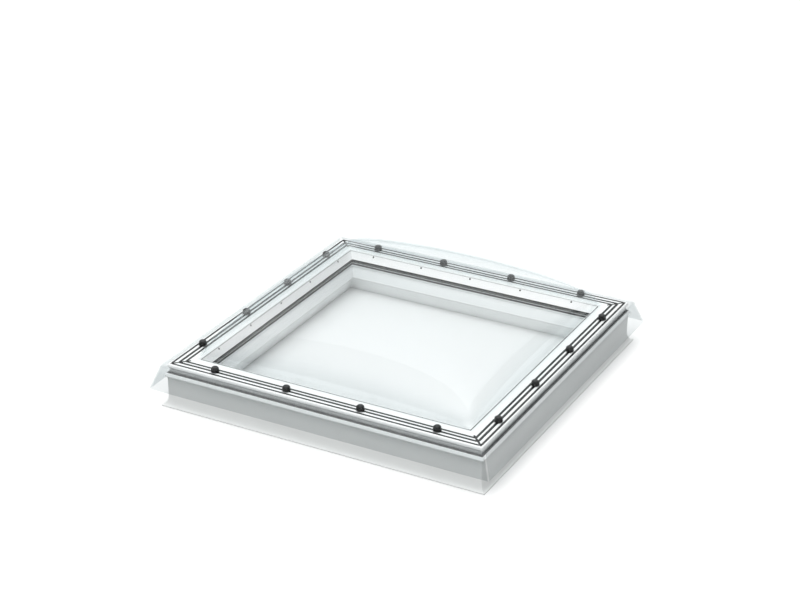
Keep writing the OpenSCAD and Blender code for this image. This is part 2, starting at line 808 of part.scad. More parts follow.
// Rings of one face of the sheet: bulge of half-width a, then flange, bend and skirt
function dome_face(a, z, bend, tip) = concat(
    [for (j = [1:dome_rings], i = [0:4 * dome_side - 1])
        let (s = sin(90 * j / dome_rings), p = on_square(i) * s)
        [p[0] * a, p[1] * a, j == dome_rings ? z : z + dome_rise * pillow(p[0], p[1])]],
    [for (q = concat([[nose_rr + bend_out, z]],
            [for (k = [1:bend_steps]) [nose_rr + bend_out + bend * sin(90 * k / bend_steps),
                z - bend * (1 - cos(90 * k / bend_steps))]],
            [[tip, skirt_tip_z]]), i = [0:4 * dome_side - 1])
        let (p = on_square(i) * q[0]) [p[0], p[1], q[1]]]);

module dome_sheet() {
    n = 4 * dome_side;
    rings = dome_rings + bend_steps + 2;
    a = edge + dome_foot;
    top = dome_face(a, dome_z, skirt_r, wall_r + skirt_out);
    low = dome_face(a - dome_t, sash_top, skirt_r - dome_t, wall_r + skirt_out - dome_t);
    count = rings * n;
    points = concat(top, low, [[0, 0, dome_z + dome_rise], [0, 0, sash_top + dome_rise]]);
    faces = concat(
        [for (i = [0:n - 1]) [2 * count, (i + 1) % n, i]],
        [for (i = [0:n - 1]) [2 * count + 1, count + i, count + (i + 1) % n]],
        [for (j = [0:rings - 2], i = [0:n - 1], h = [0, 1])
            let (k = (i + 1) % n, p = j * n, q = p + n)
            h == 0 ? [p + i, p + k, q + i] : [p + k, q + k, q + i]],
        [for (j = [0:rings - 2], i = [0:n - 1], h = [0, 1])
            let (k = (i + 1) % n, p = count + j * n, q = p + n)
            h == 0 ? [p + i, q + i, p + k] : [p + k, q + i, q + k]],
        [for (i = [0:n - 1], h = [0, 1])
            let (k = (i + 1) % n, p = (rings - 1) * n, q = count + p)
            h == 0 ? [p + i, p + k, q + i] : [p + k, q + k, q + i]]);
    polyhedron(points, faces, convexity = 6);
}

module dome() {
    color([0.85, 0.9, 0.9, 0.3]) difference() {
        dome_sheet();
        at_knobs() translate([0, 0, sash_top - over])
            cylinder(h = dome_t + 2 * over, d = bolt_d + 2 * dome_hole_fit);
    }
}

module at_knobs() {
    along_sides(knob_r, knobs_n, edge - knob_inset) children();
}

// Round knob with shallow flutes and a bevelled top
module knobs() {
    r = knob_d / 2;
    grip = knob_rim + knob_ledge;
    color("black") at_knobs() translate([0, 0, knob_z]) difference() {
        rotate_extrude() polygon([[0, 0], [r, 0], [r, knob_rim], [r - knob_ledge, grip],
            [r - knob_draft, knob_h - knob_bevel_h], [r - knob_bevel_w, knob_h], [0, knob_h]]);
        for (i = [0:knob_flutes - 1]) rotate([0, 0, 360 * (i + 0.5) / knob_flutes])
            translate([r + flute_r - flute_cut, 0, grip]) cylinder(h = knob_h, r = flute_r);
        translate([0, 0, -over]) cylinder(h = knob_h + over - knob_cap, d = bolt_d + 2 * run_fit);
    }
}

module knob_washers() {
    color("black") at_knobs() translate([0, 0, dome_z]) difference() {
        cylinder(h = washer_t, d = knob_d + 2 * washer_over);
        translate([0, 0, -over]) cylinder(h = washer_t + 2 * over, d = bolt_d + 2 * screw_fit);
    }
}

module knob_bolts() {
    color("gray") at_knobs() translate([0, 0, rail_z]) {
        cylinder(h = bolt_head_h, r = bolt_head_r);
        cylinder(h = knob_z + knob_h - knob_cap - bolt_end_gap - rail_z, d = bolt_d);
    }
}

// A place on the chain's arc, a number of pitches below the bracket's pin
module at_arc(pitches) {
    translate([0, hinge_y, hinge_z]) rotate([pitches * arc_step, 0, 0])
        translate([0, -arc_r, 0]) children();
}

// Cylinder along X, centred
module pin_x(r, half) {
    rotate([0, 90, 0]) cylinder(h = 2 * half, r = r, center = true);
}

// Link plate from x0 to x1, with round ends one pitch apart along Z
module link_plate(x0, x1) {
    for (s = [-1, 1]) translate([x0, 0, s * chain_p / 2]) rotate([0, 90, 0])
        cylinder(h = x1 - x0, r = plate_r);
    block([x0, -plate_r * waist, -chain_p / 2], [x1, plate_r * waist, chain_p / 2]);
}

// Two plates and the bushes between them, bored for the outer links' pins
module inner_link() {
    difference() {
        union() {
            for (s = [0, 1]) mirror([s, 0, 0]) link_plate(chain_in, chain_in + plate_t);
            for (s = [-1, 1]) translate([0, 0, s * chain_p / 2]) pin_x(roller_r, chain_in + plate_t / 2);
        }
        for (s = [-1, 1]) translate([0, 0, s * chain_p / 2]) pin_x(link_pin_r + screw_fit, chain_out);
    }
}

// Two plates outside the inner links' plates, and the pins that join them
module outer_link() {
    x = chain_in + plate_t + plate_gap;
    for (s = [0, 1]) mirror([s, 0, 0]) link_plate(x, x + plate_t);
    for (s = [-1, 1]) translate([0, 0, s * chain_p / 2]) pin_x(link_pin_r, chain_out);
}

// Inner and outer links in turn along the arc, an inner one at the bracket
module chain() {
    color("silver") for (i = [0:links - 1]) at_arc(i + 0.5) {
        if (i % 2 == 0) inner_link();
        else outer_link();
    }
}

module at_bracket_screws() {
    for (t = [-1, 1]) translate([t * (bracket_half - bracket_screw_in), -chain_r, 0]) children();
}

module chain_bracket() {
    r = bracket_pin_r + lug_wall;
    color("silver") difference() {
        union() {
            block([-bracket_half, -chain_r - bracket_front, sash_z - leaf_sash_t],
                [bracket_half, -chain_r + bracket_back, sash_z]);
            for (s = [0, 1]) mirror([s, 0, 0]) {
                block([lug_in, -chain_r - r, hinge_z], [lug_in + lug_t, -chain_r + r, sash_z]);
                at_arc(0) translate([lug_in, 0, 0]) rotate([0, 90, 0]) cylinder(h = lug_t, r = r);
            }
        }
        at_arc(0) pin_x(bracket_pin_r + run_fit, bracket_half);
        at_bracket_screws() translate([0, 0, sash_z - leaf_sash_t - over])
            cylinder(h = leaf_sash_t + 2 * over, r = screw_r + screw_fit);
    }
}

module bracket_pin() {
    color("gray") at_arc(0) pin_x(bracket_pin_r, lug_in + lug_t);
}

module bracket_screws() {
    color("gray") at_bracket_screws() translate([0, 0, sash_z - leaf_sash_t])
        screw_up(leaf_sash_t + rail_z - sash_z - drop_fit);
}

// Centre of the sprocket, outside the chain's arc at the pin it meshes with
module at_sprocket() {
    at_arc(mesh_pin) translate([0, -sprocket_r, 0]) children();
}

// Toothed wheel on its shaft; a gap between two teeth faces the chain
module drive_sprocket() {
    root = sprocket_r - roller_r - root_gap;
    shoulder = sprocket_r - tooth_shoulder;
    tip = sprocket_r + tooth_h;
    half_root = chain_p / 2 - roller_r - tooth_play;
    half_shoulder = half_root - tooth_taper;
    color("gray") at_sprocket() union() {
        pin_x(root, sprocket_half);
        for (i = [0:teeth - 1]) rotate([360 * (i + 0.5) / teeth, 0, 0]) rotate([90, 0, 90])
            linear_extrude(2 * sprocket_half, center = true)
                polygon([[shaft_d / 2, -half_root], [shoulder, -half_shoulder], [tip, -tooth_tip],
                    [tip, tooth_tip], [shoulder, half_shoulder], [shaft_d / 2, half_root]]);
        pin_x(shaft_d / 2 + collar_t, cheek_in - side_play);
        translate([-cheek_out, 0, 0]) rotate([0, 90, 0])
            cylinder(h = 2 * cheek_out + shaft_into_box, d = shaft_d);
    }
}

// Box on the front side: x along the side, r outward, z up
module front_block(x0, x1, r0, r1, z0, z1) {
    block([x0, -r1, z0], [x1, -r0, z1]);
}

module operator_housing() {
    t = op_t;
    half = op_l / 2;
    color("lightgray") difference() {
        front_block(-half, half, op_in, op_out, op_z, cavity_top);
        front_block(-half + t, half - t, op_in + t, op_out - t, op_floor, cavity_top - t);
        front_block(-half + op_tab, half - op_tab, op_in + t, op_out - t, op_floor, cavity_top + over);
        front_block(-cheek_in, cheek_in, op_in + t, chain_r + plate_r + slot_gap,
            op_z - over, op_floor + over);
        at_operator_screws() translate([0, 0, cavity_top - t - over])
            cylinder(h = t + 2 * over, r = screw_r + screw_fit);
    }
}

module operator_screws() {
    color("gray") at_operator_screws() translate([0, 0, frame_h]) rotate([180, 0, 0])
        screw_up(frame_wall + op_t + screw_bite);
}

// Two cheeks and a back wall that carry the sprocket's shaft
module bearing_block() {
    color("darkgray") difference() {
        front_block(-cheek_out, cheek_out, op_in + op_t + drop_fit, op_out - op_t,
            op_floor, cavity_top - cheek_drop);
        front_block(-cheek_in, cheek_in, op_in, chain_r + 2 * sprocket_r + tooth_h + tooth_clear,
            op_floor - over, cavity_top);
        at_sprocket() pin_x(shaft_d / 2 + run_fit, cheek_out + over);
    }
}

module gearbox() {
    color("gray") at_sprocket() translate([cheek_out, 0, 0]) rotate([0, 90, 0]) difference() {
        cylinder(h = gearbox_l, d = gearbox_d);
        translate([0, 0, -over])
            cylinder(h = shaft_into_box + shaft_end_gap + over, d = shaft_d + 2 * run_fit);
    }
}

module drive_motor() {
    color("dimgray") at_sprocket() translate([cheek_out + gearbox_l, 0, 0]) rotate([0, 90, 0])
        cylinder(h = motor_l, d = motor_d);
}

module control_unit() {
    color("darkslategray") front_block(-op_l / 2 + op_t + drop_fit, -cheek_out - control_gap,
        op_in + op_t + drop_fit, op_out - op_t - drop_fit, op_floor, op_floor + control_h);
}

// Square tube below the housing that the chain hangs in
module chain_guide() {
    in0 = chain_low_r - plate_r - guide_gap;
    in1 = chain_r + plate_r + guide_gap;
    low = frame_wall + guide_foot_gap;
    color("gray") difference() {
        union() {
            front_block(-cheek_in - guide_wall, cheek_in + guide_wall,
                in0 - guide_wall, in1 + guide_wall, low, op_z);
            front_block(-cheek_out, cheek_out, op_in, in1 + guide_tab, op_z - guide_wall, op_z);
        }
        front_block(-cheek_in, cheek_in, in0, in1, low - over, op_z + over);
    }
}

frame();
insulation_core();
outer_seal();
inner_seal();
hinge_frame_leaf(-1);  // hinge_frame_leaf_left
hinge_frame_leaf(1);  // hinge_frame_leaf_right
hinge_pin(-1);  // hinge_pin_left
hinge_pin(1);  // hinge_pin_right
hinge_frame_screws();
operator_housing();
bearing_block();
gearbox();
drive_motor();
control_unit();
chain_guide();
operator_screws();
drive_sprocket();
sash();
rail(front);  // rail_front
rail(back);  // rail_back
rail(left);  // rail_left
rail(right);  // rail_right
mitre_gaskets();
edge_cord_seal();
dome_seal(rail_in_r + groove_1);  // dome_seal_inner
dome_seal(rail_in_r + groove_2);  // dome_seal_outer
rail_screws();
bead(front);  // bead_front
bead(back);  // bead_back
bead(left);  // bead_left
bead(right);  // bead_right
bead_gasket();
bead_screws();
pane(top_pane_z);  // outer_pane
pane(low_pane_z);  // inner_pane
spacer_bar();
edge_sealant();
upper_gasket();
lower_gasket();
setting_blocks();
dome();
knobs();
knob_washers();
knob_bolts();
hinge_sash_leaf(-1);  // hinge_sash_leaf_left
hinge_sash_leaf(1);  // hinge_sash_leaf_right
hinge_sash_screws();
chain();
chain_bracket();
bracket_pin();
bracket_screws();
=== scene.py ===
"""Looks of the roof skylight: materials, lips on the seals, caps on the bead screws, a smooth dome,
floor, light and camera. Sizes are in metres where nothing else is said."""

import math

import bmesh
import bpy
import numpy as np
from mathutils import Matrix, Vector


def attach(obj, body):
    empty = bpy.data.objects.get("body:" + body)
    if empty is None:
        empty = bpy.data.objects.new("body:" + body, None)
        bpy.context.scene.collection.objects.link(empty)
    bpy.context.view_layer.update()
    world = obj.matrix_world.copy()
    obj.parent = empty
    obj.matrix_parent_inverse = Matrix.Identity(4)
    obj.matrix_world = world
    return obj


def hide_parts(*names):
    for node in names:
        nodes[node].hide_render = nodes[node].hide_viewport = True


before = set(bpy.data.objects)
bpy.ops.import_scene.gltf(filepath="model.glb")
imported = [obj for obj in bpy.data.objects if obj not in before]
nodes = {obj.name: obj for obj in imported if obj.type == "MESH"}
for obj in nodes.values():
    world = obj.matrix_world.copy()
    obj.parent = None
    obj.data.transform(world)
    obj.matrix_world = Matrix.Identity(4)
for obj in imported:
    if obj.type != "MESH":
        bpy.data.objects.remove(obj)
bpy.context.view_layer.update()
scene = bpy.context.scene


# Materials

SOFT_EDGE = 0.0003  # half the width over which a strip of another shade fades
WELD = (0.0004, 0.0016)  # distance from a welded corner's line where its groove starts to fade, and ends


class Tree:
    """The node tree of a material or of the world, with short calls to add and join its nodes."""

    def __init__(self, owner, output="OutputMaterial"):
        owner.use_nodes = True
        self.owner = owner
        self.nt = owner.node_tree
        self.nt.nodes.clear()
        self.out = self.node(output)
        self._place = None

    def node(self, kind, **values):
        n = self.nt.nodes.new("ShaderNode" + kind)
        for key, value in values.items():
            setattr(n, key, value)
        return n

    def put(self, socket, value):
        """Sets a socket to a plain value, or joins it to another node's output."""
        if isinstance(value, bpy.types.NodeSocket):
            self.nt.links.new(value, socket)
        else:
            socket.default_value = value

    def place(self):
        """Coordinates in metres, as the part stands at rest."""
        if self._place is None:
            self._place = self.node("TexCoord").outputs["Object"]
        return self._place

    def math(self, op, a, b=0.0, c=0.0):
        n = self.node("Math", operation=op)
        for socket, value in zip(n.inputs, (a, b, c)):
            self.put(socket, value)
        return n.outputs[0]

    def times(self, a, b):
        return self.math("MULTIPLY", a, b)

    def size(self, value):
        return self.math("ABSOLUTE", value)

    def dot(self, a, b):
        n = self.node("VectorMath", operation="DOT_PRODUCT")
        self.put(n.inputs[0], a)
        self.put(n.inputs[1], b)
        return n.outputs["Value"]

    def xyz(self, vector=None):
        n = self.node("SeparateXYZ")
        self.put(n.inputs[0], vector or self.place())
        return n.outputs

    def drawn(self, axes, scales):
        """A vector of scaled axes, for a noise that is drawn out along the least scaled one."""
        n = self.node("CombineXYZ")
        for socket, axis, scale in zip(n.inputs, axes, scales):
            self.put(socket, self.times(axis, scale))
        return n.outputs[0]

    def noise(self, scale, detail=2.0, rough=0.5, vector=None):
        n = self.node("TexNoise")
        self.put(n.inputs["Vector"], vector or self.place())
        self.put(n.inputs["Scale"], scale)
        self.put(n.inputs["Detail"], detail)
        self.put(n.inputs["Roughness"], rough)
        return n.outputs["Fac"]

    def cells(self, scale, **values):
        """A pattern of cells, as the distance from their points or edges."""
        n = self.node("TexVoronoi", **values)
        self.put(n.inputs["Vector"], self.place())
        self.put(n.inputs["Scale"], scale)
        return n.outputs["Distance"]

    def span(self, value, low, high, start=0.3, end=0.7, curve="LINEAR"):
        """Maps a value between start and end onto low to high."""
        n = self.node("MapRange", clamp=True, interpolation_type=curve)
        for key, v in (("Value", value), ("From Min", start), ("From Max", end),
                       ("To Min", low), ("To Max", high)):
            self.put(n.inputs[key], v)
        return n.outputs["Result"]

    def strip(self, value, low, high):
        """1 where a value lies between low and high, and 0 elsewhere."""
        return self.times(self.span(value, 0.0, 1.0, low - SOFT_EDGE, low + SOFT_EDGE),
                          self.span(value, 1.0, 0.0, high - SOFT_EDGE, high + SOFT_EDGE))

    def mix(self, fac, a, b):
        n = self.node("Mix", data_type="RGBA")
        self.put(n.inputs[0], fac)
        self.put(n.inputs[6], a)
        self.put(n.inputs[7], b)
        return n.outputs[2]

    def bump(self, height, distance, strength=1.0, normal=None):
        n = self.node("Bump")
        self.put(n.inputs["Height"], height)
        self.put(n.inputs["Distance"], distance)
        self.put(n.inputs["Strength"], strength)
        if normal is not None:
            self.put(n.inputs["Normal"], normal)
        return n.outputs["Normal"]

    def rounded(self, radius):
        """A normal that rounds the shading of sharp edges."""
        n = self.node("Bevel", samples=6)
        self.put(n.inputs["Radius"], radius)
        return n.outputs["Normal"]

    def outward(self, x, y):
        """Distance outward from the middle of a square ring."""
        return self.math("MAXIMUM", self.size(x), self.size(y))

    def off_corner(self, x, y):
        """Distance from the diagonals, on which the sides of a square ring meet."""
        return self.size(self.math("SUBTRACT", self.size(x), self.size(y)))

    def along_ring(self):
        """(outward distance, height, place along a side) of a square ring with mitred corners."""
        x, y, z = self.xyz()
        n = self.node("Mix", data_type="FLOAT")
        self.put(n.inputs[0], self.math("GREATER_THAN", self.size(x), self.size(y)))
        self.put(n.inputs[2], x)
        self.put(n.inputs[3], y)
        return self.outward(x, y), z, n.outputs[0]

    def surface(self, **inputs):
        """Joins up a plain surface. An input's name has _ where its socket's has a blank."""
        p = self.node("BsdfPrincipled")
        for key, value in inputs.items():
            self.put(p.inputs[key.replace("_", " ")], value)
        self.put(self.out.inputs["Surface"], p.outputs["BSDF"])
        return self.owner


def material_tree(name):
    return Tree(bpy.data.materials.new(name))


def colour(r, g, b):
    return (r, g, b, 1.0)


def grey(level):
    return colour(level, level, level)


def scaled(c, k):
    return (c[0] * k, c[1] * k, c[2] * k, 1.0)


def white_plastic(name, base, rough, edge, streak, weld=True, zones=()):
    """Extruded white plastic: faint draw lines along the profile, orange peel and a welded mitre.

    zones are (outward from, to, height from, to, tone) of strips with another shade."""
    t = material_tree(name)
    r, z, along = t.along_ring()
    lines = t.noise(scale=1.0, detail=3.0, rough=0.6,
                    vector=t.drawn((r, z, along), (420.0, 420.0, 0.6)))
    cloud = t.noise(scale=7.0, detail=3.0, rough=0.55)
    peel = t.noise(scale=780.0, detail=1.0, rough=0.4)
    tone = t.mix(t.span(cloud, 0.0, 1.0), scaled(base, 0.972), base)
    tone = t.mix(t.span(lines, 0.0, 0.5, 0.35, 0.65), tone, scaled(base, 0.965))
    height = t.math("ADD", t.times(lines, streak), t.times(peel, 0.35))
    if weld:
        x, y, _ = t.xyz()
        groove = t.span(t.off_corner(x, y), 1.0, 0.0, *WELD)
        height = t.math("SUBTRACT", height, t.times(groove, 3.0))
        tone = t.mix(t.times(groove, 0.25), tone, scaled(base, 0.8))
    for inside, outside, low, high, shade in zones:
        tone = t.mix(t.times(t.strip(r, inside, outside), t.strip(z, low, high)), tone, shade)
    normal = t.bump(height, distance=0.00006, strength=0.35, normal=t.rounded(edge))
    spots = t.noise(scale=34.0, detail=4.0, rough=0.6)
    return t.surface(Base_Color=tone, Roughness=t.span(spots, rough - 0.05, rough + 0.07),
                     Normal=normal, IOR=1.53)


def rubber(name, base, rough, edge=0.0004, top=None):
    """Extruded rubber: matte, with a fine bloom and draw lines along its length.

    top is (height from, to, tone) of a seal painted lighter towards its upper edge, as painted light."""
    t = material_tree(name)
    r, z, along = t.along_ring()
    lines = t.noise(scale=1.0, vector=t.drawn((r, z, along), (900.0, 900.0, 4.0)))
    grain = t.noise(scale=1400.0, rough=0.6)
    bloom = t.noise(scale=60.0, detail=4.0, rough=0.65)
    tone = t.mix(t.span(bloom, 0.0, 1.0, 0.4, 0.75), base, scaled(base, 1.9))
    # painted light: the seal's tone rises towards its upper edge
    if top is not None:
        low, high, lit_tone = top
        tone = t.mix(t.span(z, 0.0, 1.0, low, high), tone, lit_tone)
    normal = t.bump(t.math("ADD", lines, t.times(grain, 0.6)), distance=0.00008, strength=0.5,
                    normal=t.rounded(edge))
    return t.surface(Base_Color=tone, Roughness=t.span(bloom, rough - 0.1, rough + 0.12),
                     Normal=normal, Specular_IOR_Level=0.15)


def moulded(name, base, rough, edge, grain_scale=1700.0, grain_height=0.00005, gloss=0.5):
    """Moulded plastic with a fine eroded texture and slightly rubbed edges."""
    t = material_tree(name)
    grain = t.noise(grain_scale, rough=0.6)
    cloud = t.noise(scale=45.0, detail=3.0, rough=0.6)
    smooth = t.rounded(edge)
    # at an edge the rounded normal leaves the face's own
    rub = t.span(t.dot(smooth, t.node("NewGeometry").outputs["Normal"]), 1.0, 0.0, 0.86, 0.995)
    tone = t.mix(t.span(cloud, 0.0, 1.0), scaled(base, 0.85), scaled(base, 1.15))
    tone = t.mix(t.times(rub, 0.35), tone, scaled(base, 2.2))
    normal = t.bump(grain, grain_height, strength=0.5, normal=smooth)
    roughness = t.math("SUBTRACT", t.span(cloud, rough - 0.05, rough + 0.08), t.times(rub, 0.08))
    return t.surface(Base_Color=tone, Roughness=roughness, Normal=normal, Specular_IOR_Level=gloss)


def plated_steel(name):
    """Zinc-plated steel: fine spangle, turning marks and a few dull patches."""
    t = material_tree(name)
    spangle = t.cells(scale=420.0)
    brush = t.noise(scale=1.0, detail=3.0, rough=0.6,
                    vector=t.drawn(t.xyz(), (120.0, 120.0, 3200.0)))
    patch = t.noise(scale=90.0, detail=4.0, rough=0.6)
    tone = t.mix(t.span(spangle, 0.0, 1.0, 0.1, 0.7),
                 colour(0.56, 0.57, 0.59), colour(0.66, 0.67, 0.68))
    tone = t.mix(t.span(patch, 0.0, 0.35, 0.5, 0.8), tone, colour(0.42, 0.42, 0.41))
    normal = t.bump(brush, distance=0.00004, strength=0.35, normal=t.rounded(0.0003))
    return t.surface(Base_Color=tone, Roughness=t.span(patch, 0.24, 0.42), Normal=normal,
                     Metallic=1.0)


def foam(name):
    """Rigid closed-cell foam."""
    t = material_tree(name)
    wall = t.span(t.cells(scale=380.0, feature="DISTANCE_TO_EDGE"), 0.0, 1.0, 0.02, 0.22)
    tone = t.mix(wall, colour(0.72, 0.69, 0.58), colour(0.84, 0.81, 0.71))
    cloud = t.noise(scale=14.0, detail=3.0)
    tone = t.mix(t.span(cloud, 0.0, 0.5), tone, colour(0.79, 0.75, 0.63))
    return t.surface(Base_Color=tone, Roughness=t.span(wall, 0.95, 0.8, 0.0, 1.0),
                     Normal=t.bump(wall, distance=0.0004, strength=0.6), IOR=1.4)


def spacer_metal(name):
    """Dark spacer bar with a row of breathing holes along each side and a light lower edge."""
    hole_step, hole_z, hole_rim = 0.007, 0.116, (0.0004, 0.0007)
    lower_edge = (0.1128, 0.1134)
    t = material_tree(name)
    r, z, along = t.along_ring()
    step = t.math("SUBTRACT", t.math("FRACT", t.math("DIVIDE", along, hole_step)), 0.5)
    off = t.times(step, hole_step)
    rise = t.math("SUBTRACT", z, hole_z)
    gap = t.math("SQRT", t.math("ADD", t.times(off, off), t.times(rise, rise)))
    hole = t.span(gap, 1.0, 0.0, *hole_rim)
    cloud = t.noise(scale=55.0, detail=3.0)
    tone = t.mix(t.span(cloud, 0.0, 1.0), colour(0.045, 0.05, 0.046), colour(0.075, 0.08, 0.076))
    tone = t.mix(hole, tone, grey(0.006))
    tone = t.mix(t.span(z, 1.0, 0.0, *lower_edge), tone, colour(0.5, 0.51, 0.505))
    lines = t.noise(scale=1.0, vector=t.drawn((r, z, along), (900.0, 900.0, 2.0)))
    normal = t.bump(t.math("SUBTRACT", lines, t.times(hole, 2.0)), distance=0.0001, strength=0.4,
                    normal=t.rounded(0.0004))
    return t.surface(Base_Color=tone, Roughness=t.span(lines, 0.38, 0.55), Normal=normal, IOR=1.5)


def clear_sheet(name, face, grazing, base_mirror, mirror_gain, rough, wave, wave_scale,
                steep=None, skirt=None):
    """A clear sheet that passes light unbent and mirrors more at a grazing angle.

    face and grazing tint what is seen through one face, straight on and edge on; steep and skirt
    are the darker tints of a formed sheet's walls and of its skirt: painted shade for the dark
    surroundings that the steep sheet mirrors."""
    wall_slope = (0.3, 0.85)  # upward part of the normal, from a steep wall to a flat top
    skirt_from, fold_from, skirt_full = 0.589, 0.592, 0.6  # outward distances
    fold_width = (0.002, 0.005)
    t = material_tree(name)
    facing = t.node("LayerWeight")
    t.put(facing.inputs["Blend"], 0.5)
    slant = t.math("POWER", facing.outputs["Facing"], 5.0)
    if steep is not None:
        x, y, _ = t.xyz()
        upward = t.size(t.xyz(t.node("TexCoord").outputs["Normal"])[2])
        out = t.outward(x, y)
        # painted shade: steep walls and the skirt are tinted darker than the flat top
        face = t.mix(t.span(upward, 0.0, 1.0, *wall_slope), steep, face)
        face = t.mix(t.span(out, 0.0, 1.0, skirt_from, skirt_full), face, skirt)
        # the skirt's folded corners catch the light
        fold = t.times(t.span(t.off_corner(x, y), 1.0, 0.0, *fold_width),
                       t.span(out, 0.0, 1.0, fold_from, skirt_full))
        face = t.mix(fold, face, grey(1.0))
    through = t.node("BsdfTransparent")
    t.put(through.inputs["Color"], t.mix(slant, face, grazing))
    gloss = t.node("BsdfGlossy")
    haze = t.noise(scale=22.0, detail=4.0, rough=0.6)
    t.put(gloss.inputs["Color"], grey(1.0))
    t.put(gloss.inputs["Roughness"], t.span(haze, rough, rough * 2.2))
    t.put(gloss.inputs["Normal"], t.bump(t.noise(wave_scale, rough=0.4), wave))
    both = t.node("MixShader")
    t.put(both.inputs[0], t.math("MULTIPLY_ADD", slant, mirror_gain, base_mirror))
    t.put(both.inputs[1], through.outputs[0])
    t.put(both.inputs[2], gloss.outputs[0])
    t.put(t.out.inputs["Surface"], both.outputs[0])
    return t.owner


LINING = (0.46, 0.535)  # outward from and to, of the frame's inner face
# painted light: the white painted on the frame's inner face and on its drip ridge
PAINTED_LIGHT_WHITE = colour(0.94, 0.945, 0.945)

looks = {
    # painted shade: the frame's white is darkened to stand in for the shade on its outer walls
    "frame_white": white_plastic(
        "frame_white", colour(0.675, 0.684, 0.68), rough=0.42, edge=0.0009, streak=1.0, zones=[
            # painted light: the inner face is lighter than the frame's own white, most above its joint
            # line; the narrow dark strip is that joint
            (*LINING, 0.0, 0.0555, colour(0.86, 0.87, 0.865)),
            (*LINING, 0.0545, 0.0565, colour(0.36, 0.365, 0.36)),
            (*LINING, 0.0565, 0.118, PAINTED_LIGHT_WHITE),
            # the drip ridge, painted lighter: a painted highlight
            (0.5825, 0.592, 0.1085, 0.121, PAINTED_LIGHT_WHITE)]),
    "sash_white": white_plastic(
        "sash_white", colour(0.79, 0.8, 0.8), rough=0.33, edge=0.0007, streak=0.8, zones=[
            # painted shade: the dark line under the sash's nose
            (0.56, 0.5815, 0.137, 0.1396, colour(0.13, 0.132, 0.132))]),
    "rail_white": white_plastic(
        "rail_white", colour(0.765, 0.78, 0.78), rough=0.30, edge=0.0004, streak=0.8, weld=False),
    # painted light: the beads' white is lighter than the sash's, for the light on their sloping faces
    "bead_white": white_plastic(
        "bead_white", colour(0.95, 0.953, 0.953), rough=0.31, edge=0.0005, streak=0.8, weld=False),
    "seal_black": rubber("seal_black", colour(0.012, 0.013, 0.013), rough=0.62),
    "seal_grey": rubber(
        "seal_grey", colour(0.13, 0.134, 0.134), rough=0.66,
        top=(0.1215, 0.1305, colour(0.76, 0.77, 0.77))),
    "knob_black": moulded("knob_black", colour(0.011, 0.012, 0.012), rough=0.34, edge=0.0006),
    "screw_black": moulded("screw_black", grey(0.009), rough=0.6, edge=0.0003, gloss=0.1),
    "operator_grey": moulded(
        "operator_grey", colour(0.05, 0.053, 0.056), rough=0.5, edge=0.0006,
        grain_scale=1300.0, grain_height=0.00006),
    "steel": plated_steel("steel"),
    "foam": foam("foam"),
    "spacer": spacer_metal("spacer"),
    "pane": clear_sheet(
        "pane", face=colour(0.99, 0.994, 0.995), grazing=colour(0.96, 0.975, 0.97),
        base_mirror=0.014, mirror_gain=0.5, rough=0.006, wave=0.00002, wave_scale=3.0),
    "dome": clear_sheet(
        "dome", face=colour(0.988, 0.991, 0.991), grazing=colour(0.76, 0.81, 0.82),
        base_mirror=0.03, mirror_gain=0.125, rough=0.012, wave=0.0003, wave_scale=5.0,
        steep=colour(0.937, 0.95, 0.953), skirt=colour(0.87, 0.882, 0.885)),
}

wears = {
    "frame_white": ["frame"],
    "sash_white": ["sash"],
    "rail_white": ["rail_front", "rail_back", "rail_left", "rail_right"],
    "bead_white": ["bead_front", "bead_back", "bead_left", "bead_right"],
    "seal_black": ["inner_seal", "mitre_gaskets", "edge_cord_seal", "dome_seal_inner",
                   "dome_seal_outer", "bead_gasket", "upper_gasket", "lower_gasket",
                   "edge_sealant"],
    "seal_grey": ["outer_seal", "setting_blocks"],
    "screw_black": ["bead_screws"],
    "knob_black": ["knobs", "knob_washers"],
    "operator_grey": ["operator_housing", "gearbox", "control_unit", "bearing_block",
                      "chain_guide"],
    "steel": ["hinge_frame_leaf_left", "hinge_frame_leaf_right", "hinge_pin_left",
              "hinge_pin_right", "hinge_frame_screws", "hinge_sash_leaf_left",
              "hinge_sash_leaf_right", "hinge_sash_screws", "operator_screws", "drive_sprocket",
              "drive_motor", "rail_screws", "knob_bolts", "chain", "chain_bracket",
              "bracket_pin", "bracket_screws"],
    "foam": ["insulation_core"],
    "spacer": ["spacer_bar"],
    "pane": ["outer_pane", "inner_pane"],
    "dome": ["dome"],
}
for look, names in wears.items():
    for name in names:
        materials = nodes[name].data.materials
        materials.clear()
        materials.append(looks[look])


def add_object(name, data):
    obj = bpy.data.objects.new(name, data)
    scene.collection.objects.link(obj)
    return obj


# Dome: the same sheet as the solid, finer and smooth. Its sizes are in millimetres.

# foot of the bulge, height of the flange, radius of the bend and tip of the skirt, of each face
OUTER_FACE = (512.0, 156.5, 14.0, 629.0)
INNER_FACE = (508.0, 152.7, 10.0, 625.0)
BULGE = 197.0  # rise of the bulge over the flange
FLANGE_END = 588.5  # where the bend starts
SKIRT_LOW = 70.5  # height of the skirt's tip
SKIRT_CUTS = (0.34, 0.67, 1.0)  # places of the rings down the skirt
PER_SIDE, RINGS, FLANGE_STRIPS, BEND_STEPS = 96, 84, 5, 8
SHARP = math.radians(24)  # edges with a larger angle stay sharp

# form of the bulge: share of the rounder of two shapes, sharpness of the other, and fullness
ROUND_SHARE, CREASE, FULLNESS = 0.748, 12, 0.394


